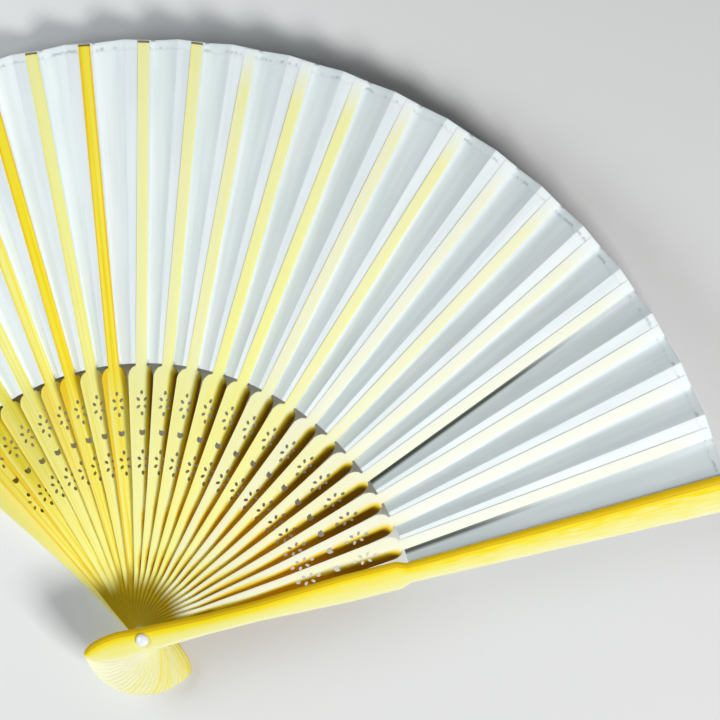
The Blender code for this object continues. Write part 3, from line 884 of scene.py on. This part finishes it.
def pierced_rib():
    recipe = Recipe(
        "pierced rib",
        **{
            "Petal Length": 1.42 * MM, "Petal Width": 0.95 * MM, "Flower Reach": 3.45 * MM,
            "Flower Spread": 1.3 * MM, "Crowding": 1.48, "Upper Flower": 76.0 * MM, "Cup": 66.4 * MM,
            "Lower Flower": 56.7 * MM, "Cup Size": 2.0 * MM, "Notch": 0.36, "Rivet Hole": HOLE_RADIUS,
            "Slip Start": NECK_PLACE, "Slip End": RIB_REACH, "Slip Start Width": NECK_WIDTH,
            "Slip End Width": SLIP_END_WIDTH, "Gap Sine": 0.1, "Bow": 0.0, "Tone": 0.5,
            "Shade Strength": 1.0, "Shade Widening": 0.0, "Green": 0.0, "Veil": 0.0, "Edge Shadow": 1.0,
            "Lean Start": LEAN_START, "Lean End": LEAN_END, "Lean": LEAN_SLOPE, "Material": None,
        },
    )
    take, node, change, store = recipe.take, recipe.node, recipe.change, recipe.store
    round_punch = {"Vertices": PUNCH_SIDES, "Radius": 1.0, "Depth": PUNCH_DEPTH}
    punch = node("GeometryNodeMeshCylinder", inputs=round_punch)
    flower = flower_punch(recipe, punch)
    flower_places = [recipe.vector(take(label)) for label in ("Upper Flower", "Lower Flower")]
    flowers = [change("Transform", flower, Translation=place) for place in flower_places]
    bore = change("Transform", punch, Scale=recipe.vector(take("Rivet Hole"), take("Rivet Hole"), 1.0))
    punches = [*flowers, cup_punch(recipe, punch), bore]
    punches = change("RealizeInstances", node("GeometryNodeJoinGeometry", inputs={0: punches}))
    pierced = node(
        "GeometryNodeMeshBoolean",
        {"operation": "DIFFERENCE", "solver": "EXACT"},
        {"Mesh 1": take("Geometry"), "Mesh 2": punches},
    )

    # The marks are stored while the rib is flat. Then its slip bows aside and its blade leans.
    place = node("GeometryNodeInputPosition")
    x, y, z = recipe.parts(place)
    on_slip = recipe.ramp(x, take("Slip Start"), take("Slip End"))
    stored = store(pierced, "grain", place)
    for name, value in rib_marks(recipe, x, y, on_slip).items():
        stored = store(stored, name, value, "FLOAT")
    bow = on_slip * take("Bow")
    lift = recipe.ramp(x, take("Lean Start"), take("Lean End")) * take("Lean") * (y + bow)
    recipe.end(change("SetPosition", stored, Offset=recipe.vector(0.0, bow, lift)))
    return recipe


rib_recipe = pierced_rib()
print("rib recipe:", len(rib_recipe.tree.nodes), "nodes,", len(rib_recipe.sockets), "inputs")

# %% [markdown]
# ## Twenty-two ribs
# Each rib comes from the same recipe. Its tone is its own, because a maker takes the sticks from many
# canes: on the left yellow ones with orange veins, then lemon, and cream on the right. The silk pulls the
# thin slips on the left aside by up to three millimetres at the rim, and on the right it covers their tips.

# %% Choose each rib's look
RIB_TONES = (
    1.00, 0.98, 0.68, 0.62, 0.76, 1.02, 0.62, 0.98, 0.46, 0.48, 0.42,
    0.52, 0.52, 0.32, 0.42, 0.18, 0.30, 0.18, 0.14, 0.08, 0.00, 0.04,
)
RIB_BOWS_MM = (
    0.0, 0.0, 0.0, 0.0, -0.4, -0.9, -1.9, -2.9, -2.5, -1.2, -1.3,
    -0.8, -0.8, 0.1, -0.2, -0.4, -0.5, -0.3, -0.2, 0.6, 0.3, 0.0,
)
FIRST_DEEP_SHADE_RIB = 9
SHADE_WIDENING = 0.115 * MM  # a rib's painted edge shadow is this much broader than the last one's
FIRST_VEILED_RIB = 11
OLIVE_RIBS = {1: 0.35, 2: 0.85, 3: 0.75, 4: 0.25}  # how olive a rib is
DEEP_SHADE_LOOK = {"Shade Strength": 1.0, "Edge Shadow": 0.8}  # how dark the painted shadows on the right edge and beside the slip are
LIGHT_SHADE_LOOK = {"Shade Strength": 0.3, "Edge Shadow": 0.3}


def rib_look(stick):
    return {
        **(DEEP_SHADE_LOOK if stick >= FIRST_DEEP_SHADE_RIB else LIGHT_SHADE_LOOK),
        "Tone": RIB_TONES[stick - 1],
        "Bow": RIB_BOWS_MM[stick - 1] * MM,
        "Gap Sine": math.sin(math.radians(gaps_deg[stick])),
        "Shade Widening": max(0.0, stick - FIRST_DEEP_SHADE_RIB) * SHADE_WIDENING,
        "Green": OLIVE_RIBS.get(stick, 0.0),
        "Veil": 1.0 if stick >= FIRST_VEILED_RIB else 0.0,
    }


print("deep-shaded from rib", FIRST_DEEP_SHADE_RIB, "and veiled from rib", FIRST_VEILED_RIB)

# %% Make the ribs
SHARP_DEG = 40.0


def new_piece(name, mesh, crisp=True):
    """Adds a smoothly shaded piece, and keeps its steep edges crisp."""
    piece = bpy.data.objects.new(name, mesh)
    bpy.context.scene.collection.objects.link(piece)
    mesh.shade_smooth()
    if crisp:
        mesh.set_sharp_from_angle(angle=math.radians(SHARP_DEG))
    return piece


def new_stick(name, mesh, stick):
    """Turns a stick to its direction, lifts it to its level, and lets it ride on its body."""
    mesh.transform(Matrix.Translation((0.0, 0.0, levels[stick])) @ Matrix.Rotation(angles[stick], 4, "Z"))
    piece = new_piece(name, mesh)
    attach(piece, bodies[stick])
    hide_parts(bodies[stick])


for stick in range(1, LAST):
    name = f"bamboo_rib_{stick:02d}"
    mesh = rib_recipe.make(name, rib_blank, **rib_look(stick), Material=rib_finish)
    new_stick(name, mesh, stick)
print("ribs:", LAST - 1, "of", len(mesh.polygons), "faces each")

# %% [markdown]
# ## The guards
# A guard is a stouter bar with a flat inner face and a rounded outer one. Along one edge of the outer
# face a slanted band is cut, a little broader at the tip. The back guard is the same bar turned over.

# %% Place the sections of a guard
GUARD_BAND_DEPTH = 1.1 * MM
GUARD_BAND_START = 1.5 * MM
GUARD_BAND_END = 2.3 * MM
GUARD_BAND_SHARE = 0.8  # the band's greatest share of half the width
GUARD_EDGE = 0.35 * MM
GUARD_EDGE_SHARE = 0.1
GUARD_NECK_STEPS = 4
GUARD_OUTLINE = ROOT_OUTLINE + [
    (WAIST_START, GUARD_WAIST_WIDTH / 2),
    (GUARD_WAIST_END, GUARD_WAIST_WIDTH / 2),
    (GUARD_BLADE_START, GUARD_BLADE_WIDTH / 2),
    (BLADE_END, GUARD_BLADE_WIDTH / 2),
    (NECK_PLACE, GUARD_NECK_WIDTH / 2),
    (GUARD_REACH, GUARD_END_WIDTH / 2),
]


def guard_stations():
    places = BLADE_PLACES + steps(BLADE_END, NECK_PLACE, GUARD_NECK_STEPS)
    places += steps(NECK_PLACE, GUARD_REACH, SLIP_STEPS) + [GUARD_REACH]
    return tail_stations() + stations_at(places, GUARD_OUTLINE)


def guard_section(x, half):
    """The outline across a guard, its outer face up, as (point, depth in the cane) pairs, with the band on
    its left.
    """
    band = between(x, [(NECK_PLACE, GUARD_BAND_START), (GUARD_REACH, GUARD_BAND_END)])
    band = min(band, GUARD_BAND_SHARE * half)
    floor_level = LEAF_RECESS if x >= NECK_PLACE else 0.0
    edge = min(GUARD_EDGE, GUARD_EDGE_SHARE * half)
    top = GUARD_THICKNESS
    return [
        ((x, half, top - GUARD_BAND_DEPTH), 1.0),
        ((x, half - band * 0.5, top - GUARD_BAND_DEPTH * 0.45), 0.85),
        ((x, half - band, top), 0.68),
        ((x, half - band - edge, top), 0.62),
        ((x, half - band - 4 * edge, top), 0.48),
        ((x, -half + 3 * edge, top), 0.12),
        ((x, -half + edge, top - edge * 0.5), 0.0),
        ((x, -half, top - edge * 1.6), 0.0),
        ((x, -half, floor_level), 0.25),
        ((x, half, floor_level), 0.35),
    ]


print("sections of a guard:", len(guard_stations()))

# %% Make the guards
GUARD_TONES = {0: 0.3, LAST: 0.5}


def keep(mesh, name, kind, field, values):
    """Stores one value a point. A later attribute can move this one's data, so it is filled at once."""
    data = mesh.attributes.new(name, kind, "POINT").data
    for point, value in zip(data, values):
        setattr(point, field, value)


def new_guard(name, stick, turned_over):
    """Joins the sections, keeps grain, tone and the depth in the cane, which also paints light and shade,
    while the bar is flat, and then leans it.
    """
    sections = [guard_section(x, half) for x, half in guard_stations()]
    flip, rise = (-1.0, GUARD_THICKNESS) if turned_over else (1.0, 0.0)
    outlines = [[(x, y * flip, rise + z * flip) for (x, y, z), depth in section] for section in sections]
    mesh = bar_from_sections(name, outlines)
    keep(mesh, "grain", "FLOAT_VECTOR", "vector", [vertex.co.copy() for vertex in mesh.vertices])
    keep(mesh, "tone", "FLOAT", "value", [GUARD_TONES[stick]] * len(mesh.vertices))
    keep(mesh, "skin", "FLOAT", "value", [depth for section in sections for point, depth in section])
    for vertex in mesh.vertices:
        vertex.co.z += lean(vertex.co.x, vertex.co.y)
    mesh.materials.append(guard_finish)
    print(name, "has", len(mesh.polygons), "faces")
    new_stick(name, mesh, stick)


new_guard("bamboo_guard_back", 0, True)
new_guard("bamboo_guard_front", LAST, False)

# %% [markdown]
# ## The leaf
# The silk is one strip, folded to and fro. Each rib is glued to a face that leans as it does, and a free
# face climbs from there to the next rib's face. A fold is a straight line from the inner edge to the rim,
# so a face is a ruled patch between two lines, and Geometry Nodes can make it from its four corners. The
# grid's columns crowd towards its left edge, where the free face curves most.

# %% Lay a grid between two folds
def read_place(recipe):
    settings = {"data_type": "FLOAT_VECTOR"}
    return recipe.parts(recipe.node("GeometryNodeInputNamedAttribute", settings, {"Name": "place"}))


def laid(recipe, grid):
    """Lays a grid between the two folds."""
    u, v, unused = read_place(recipe)
    left = recipe.mix_vectors(v, recipe.take("Left Inner"), recipe.take("Left Outer"))
    right = recipe.mix_vectors(v, recipe.take("Right Inner"), recipe.take("Right Outer"))
    return recipe.change("SetPosition", grid, Position=recipe.mix_vectors(u, left, right))


def distance(recipe, first, second):
    """How far two of the recipe's corners lie apart."""
    ends = {0: recipe.take(first), 1: recipe.take(second)}
    return recipe.node("ShaderNodeVectorMath", {"operation": "DISTANCE"}, ends, "Value")


# %% Write the recipe of a face
HEM_ROWS = 4
SEAM_WELD = 0.005 * MM
WAVES = (6.0, 1.5)  # along and across a face
VALLEY_SHADOW_WIDTH = 2.5 * MM


def pleat_face():
    recipe = Recipe(
        "pleat face",
        **{
            "Left Inner": (0.0, 0.0, 0.0), "Left Outer": (0.0, 0.0, 0.0),
            "Right Inner": (0.0, 0.0, 0.0), "Right Outer": (0.0, 0.0, 0.0),
            "Rows": 40, "Columns": 7, "Crowding": 1.0, "Hem Share": 0.97,
            "Ripple": 0.0, "Seed": 0.0, "Valley Shadow": 0.0, "Valley Shadow Width": VALLEY_SHADOW_WIDTH, "Valley Shadow End": 0.6,
            "Valley Shadow Side": 0.0, "Material": None,
        },
    )
    take, node, math_of = recipe.take, recipe.node, recipe.math
    smooth, store, change = recipe.smooth, recipe.store, recipe.change

    # The cloth and its hem are two grids, welded at the seam.
    bands = []
    for start, end, rows in ((0.0, take("Hem Share"), take("Rows")), (take("Hem Share"), 1.0, HEM_ROWS)):
        grid = node("GeometryNodeMeshGrid", inputs={"Vertices X": take("Columns"), "Vertices Y": rows})
        u, v, unused = recipe.parts(Socket(recipe, grid.output.node.outputs["UV Map"]))
        place = recipe.vector(u ** take("Crowding"), v * (end - start) + start)
        bands.append(store(grid, "place", place))
    cloth = node("GeometryNodeJoinGeometry", inputs={0: bands})
    cloth = change("MergeByDistance", laid(recipe, cloth), Distance=SEAM_WELD)

    # Slow waves ripple it, less and less towards its folds.
    u, v, unused = read_place(recipe)
    wave = recipe.lines(v, u, WAVES, take("Seed"), 1.0) - 0.5
    ripple = wave * take("Ripple") * math_of("SINE", u * math.pi) * 2.0
    cloth = change("SetPosition", cloth, Offset=recipe.vector(0.0, 0.0, ripple))
    length = distance(recipe, "Left Inner", "Left Outer")
    width = distance(recipe, "Left Outer", "Right Outer")
    cloth = store(cloth, "cloth", recipe.vector(v * length, u * width, (1.0 - v) * length))

    # The painted shadow in a valley is widest at the inner edge, and fades along it.
    fading = 1.0 - smooth(v, take("Valley Shadow End") - 0.25, take("Valley Shadow End") + 0.1) * 0.75
    width_here = distance(recipe, "Left Inner", "Right Inner") * (1.0 - v) + width * v
    from_valley = math_of("ABSOLUTE", u - take("Valley Shadow Side")) * width_here
    reach = take("Valley Shadow Width") * (1.0 - v * 0.5)
    stain = take("Valley Shadow") * fading * (1.0 - smooth(from_valley, reach * 0.3, reach))
    cloth = store(cloth, "stain", stain, "FLOAT")
    recipe.end(store(cloth, "seed", take("Seed"), "FLOAT"))
    return recipe


face_recipe = pleat_face()
print("face recipe:", len(face_recipe.tree.nodes), "nodes,", len(face_recipe.sockets), "inputs")

# %% [markdown]
# ## Where the folds lie
# These few functions give a fold's place on its stick. The silk is pressed against the underside of each
# slip, and on the back guard it lies on top. Where a slip bows aside, its folds go with it.

# %% Place the folds
CLOTH_THICKNESS = 0.12 * MM
HEM_THICKNESS = 0.2 * MM
GLUE_LINE = 0.02 * MM
FOLD_MARGIN = 0.3 * MM
CREST_INNER = 3.1 * MM
CREST_OUTER = 6.2 * MM
GLUED_INNER = 1.8 * MM  # half the width of a slip and its glue
GLUED_OUTER = 2.1 * MM


def half_width_at(stick, radius):
    if stick in (0, LAST):
        return between(radius, GUARD_OUTLINE) - 2 * FOLD_MARGIN
    return between(radius, [(NECK_PLACE, GLUED_INNER), (LEAF_OUTER_RADIUS, GLUED_OUTER)])


def bow_at(stick, radius):
    if stick in (0, LAST):
        return 0.0
    return RIB_BOWS_MM[stick - 1] * MM * (radius - NECK_PLACE) / (RIB_REACH - NECK_PLACE)


def low_fold(stick, radius):
    return bow_at(stick, radius) - (half_width_at(stick, radius) + FOLD_MARGIN)


def high_fold(stick, radius):
    if stick == 0:
        return -low_fold(stick, radius)
    if stick == LAST:
        return -low_fold(stick, radius) + 2 * FOLD_MARGIN
    crest = between(radius, [(LEAF_INNER_RADIUS, CREST_INNER), (LEAF_OUTER_RADIUS, CREST_OUTER)])
    return bow_at(stick, radius) + crest


def fold_point(stick, radius, across):
    """A point of the silk in the plane of a stick's own face."""
    along = math.sqrt(radius**2 - across**2)
    level = LEAF_RECESS - CLOTH_THICKNESS / 2 - GLUE_LINE
    if stick == 0:
        level = GUARD_THICKNESS - level
    return on_stick(stick, along, across, level + LEAN_SLOPE * across)


def fold_lines(across_of):
    """The two ends of one fold on each stick."""
    radii = (LEAF_INNER_RADIUS, LEAF_OUTER_RADIUS)
    return [[fold_point(stick, r, across_of(stick, r)) for r in radii] for stick in range(LAST + 1)]


low_lines = fold_lines(low_fold)
high_lines = fold_lines(high_fold)
print("folds:", len(low_lines) + len(high_lines), "lines")

# %% [markdown]
# ## Making the faces
# A patch is given live Solidify and Displace modifiers instead of a modelled thickness. The hem is a
# little thicker, because the silk is turned over there. A rib's own face rides on the rib. The valley
# beside a rib is soft: there a Displace modifier lowers the cloth, so that it leaves the rib's face
# without a crease. A second one lets the whole face sag a little. The crest is crisp, and a Weighted
# Normal modifier keeps the thin rim from bending its shading.

# %% Write what a face needs
LEAF_LENGTH = LEAF_OUTER_RADIUS - LEAF_INNER_RADIUS
HEM_SHARE = 1.0 - HEM_WIDTH / LEAF_LENGTH
ROUNDING = 1e-6
SHARPNESS = 6.0  # the valley's shape is u (1 - u)^SHARPNESS, and its peak is that one's highest value
VALLEY_PEAK = SHARPNESS**SHARPNESS / (SHARPNESS + 1.0) ** (SHARPNESS + 1.0)
TURN_OF_FOLD = 0.76  # the slope that the valley turns through
SAG = 0.045  # how far a face hangs below a straight line, as a share of its width
# Two valleys get a painted shadow where the silk leaves the slip.
VALLEY_SHADOWS = {19: (0.97, 0.75), 22: (0.9, 0.42)}  # after which rib, how dark, to which share of the length
NO_VALLEY_SHADOW = (0.0, 0.5)


def new_face(name, left, right, rib, **values):
    """A patch of silk between two folds, with the painted shadow of the valley after a rib."""
    corners = {"Left Inner": left[0], "Left Outer": left[1]}
    corners.update({"Right Inner": right[0], "Right Outer": right[1]})
    dark, end = VALLEY_SHADOWS.get(rib, NO_VALLEY_SHADOW)
    finish = {"Valley Shadow": dark, "Valley Shadow End": end, "Hem Share": HEM_SHARE, "Material": silk_finish}
    mesh = face_recipe.make(name, **corners, **finish, **values)
    if sum(face.normal.z * face.area for face in mesh.polygons) < 0:
        mesh.flip_normals()
    piece = new_piece(name, mesh, crisp=False)
    return piece


def weigh(piece, name, weight_of):
    """A vertex group from a function of a point's place (u across, v along)."""
    group = piece.vertex_groups.new(name=name)
    for number, place in enumerate(piece.data.attributes["place"].data):
        weight = weight_of(place.vector[0], place.vector[1])
        group.add([number], max(0.0, min(1.0, weight)), "REPLACE")


def lower(piece, name, depth, weight_of):
    """Moves the cloth down by depth where the weight is 1, with a live modifier."""
    weigh(piece, name, weight_of)
    dent = piece.modifiers.new(name, "DISPLACE")
    dent.direction = "Z"
    dent.mid_level = 0.0
    dent.strength = -depth
    dent.vertex_group = name


def thicken(piece):
    single = CLOTH_THICKNESS / HEM_THICKNESS
    weigh(piece, "hem", lambda u, v: 1.0 if v > HEM_SHARE - ROUNDING else single)
    solid = piece.modifiers.new("thickness", "SOLIDIFY")
    solid.thickness = HEM_THICKNESS
    solid.offset = 0.0
    solid.vertex_group = "hem"
    even = piece.modifiers.new("even shading", "WEIGHTED_NORMAL")
    even.weight = 100


print("a face is, mm:", round(LEAF_LENGTH / MM, 1), "long, with a hem of", round(HEM_WIDTH / MM, 1))

# %% Make the glued faces
FACE_RIPPLE = 0.06 * MM

faces = []
for stick in range(LAST + 1):
    shape = {"Ripple": FACE_RIPPLE, "Seed": stick + 0.5, "Valley Shadow Side": 1.0}
    face = new_face(f"silk_face_{stick:02d}", high_lines[stick], low_lines[stick], stick, **shape)
    thicken(face)
    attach(face, bodies[stick])
    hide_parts(f"leaf_{stick:02d}")
    faces.append(face)
print("glued faces:", len(faces))

# %% Make the free faces
FREE_SHAPE = {"Columns": 17, "Crowding": 1.7, "Ripple": 0.1 * MM}

folds = []
for stick in range(1, LAST + 1):
    left, right = low_lines[stick - 1], high_lines[stick]
    free = new_face(f"silk_fold_{stick:02d}", left, right, stick - 1, **FREE_SHAPE, Seed=float(stick))
    inner, outer = (right[0] - left[0]).length, (right[1] - left[1]).length

    def narrowing(v):
        return (inner + (outer - inner) * v) / outer

    def valley(u, v):
        return u * (1.0 - u) ** SHARPNESS / VALLEY_PEAK * narrowing(v)

    def sag(u, v):
        return 4.0 * u * (1.0 - u) * narrowing(v)

    lower(free, "valley", TURN_OF_FOLD * VALLEY_PEAK * outer, valley)
    lower(free, "sag", SAG * outer, sag)
    thicken(free)
    square = (left[1] - left[0]).cross(right[1] - right[0]).normalized()
    reach = square.dot(right[0] - left[0])
    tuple(left[0])
    left[0] + square * reach
    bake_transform(free)
    folds.append(free)
print("free faces:", len(folds))

for stick, face in enumerate(faces):
    area = sum(polygon.area for polygon in face.data.polygons)
    rim = (high_lines[stick][1] - low_lines[stick][1]).length
    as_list(folds[stick : stick + 1])
    print(face.name, "rim width, mm:", round(rim / MM, 1), "area, cm2:", round(area * 1e4, 1))

# %% [markdown]
# ## The rivet
# The head is a low dome of about four millimetres, and a flat cap closes the shank behind. Both are
# turned, so a profile spun about the axis makes them.

# %% Turn the rivet
SHANK_RADIUS = 1.2 * MM
HEAD_RADIUS = 2.15 * MM
HEAD_HEIGHT = 1.3 * MM
CAP_THICKNESS = 0.8 * MM
CAP_FLOOR = 0.35 * MM
SHANK_GAP = 0.33 * MM
TURN_STEPS = 48
DOME_STEPS = 12
PROFILE_WELD = 0.001 * MM


def turned(name, profile, node):
    bm = bmesh.new()
    points = [bm.verts.new((r, 0.0, z)) for r, z in profile]
    edges = [bm.edges.new(pair) for pair in zip(points, points[1:])]
    turn = {"axis": (0, 0, 1), "cent": (0, 0, 0), "angle": 2 * math.pi, "steps": TURN_STEPS}
    bmesh.ops.spin(bm, geom=points + edges, **turn)
    bmesh.ops.remove_doubles(bm, verts=bm.verts, dist=PROFILE_WELD)
    mesh = mesh_of(bm, name)
    mesh.materials.append(pearl_finish)
    piece = new_piece(name, mesh)
    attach(piece, bodies[0])
    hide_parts(node)
    print(name, "has", len(mesh.polygons), "faces")


head_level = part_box("rivet")[1].z - HEAD_HEIGHT
dome = [math.pi / 2 * n / DOME_STEPS for n in range(DOME_STEPS + 1)]
head_profile = [(HEAD_RADIUS * math.sin(a), head_level + HEAD_HEIGHT * math.cos(a)) for a in dome]
shank_end = CAP_FLOOR + SHANK_GAP
head_profile += [(SHANK_RADIUS, head_level), (SHANK_RADIUS, shank_end), (0.0, shank_end)]
turned("rivet_head", head_profile, "rivet")
cap_profile = [
    (0.0, CAP_FLOOR), (HOLE_RADIUS, CAP_FLOOR), (HOLE_RADIUS, CAP_THICKNESS),
    (HEAD_RADIUS, CAP_THICKNESS), (HEAD_RADIUS, 0.0), (0.0, 0.0),
]
turned("rivet_back", cap_profile, "rivet_cap")

# %% [markdown]
# ## The fan's box
# Both boxes are printed: the frame's at the start, and the finished fan's here. The finished fan
# has to be as large as the frame.

# %% Print the fan's box
bpy.context.view_layer.update()
scene_box = [list(corner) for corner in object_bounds()]
print("fan box, mm:", [[round(value / MM, 1) for value in corner] for corner in scene_box])
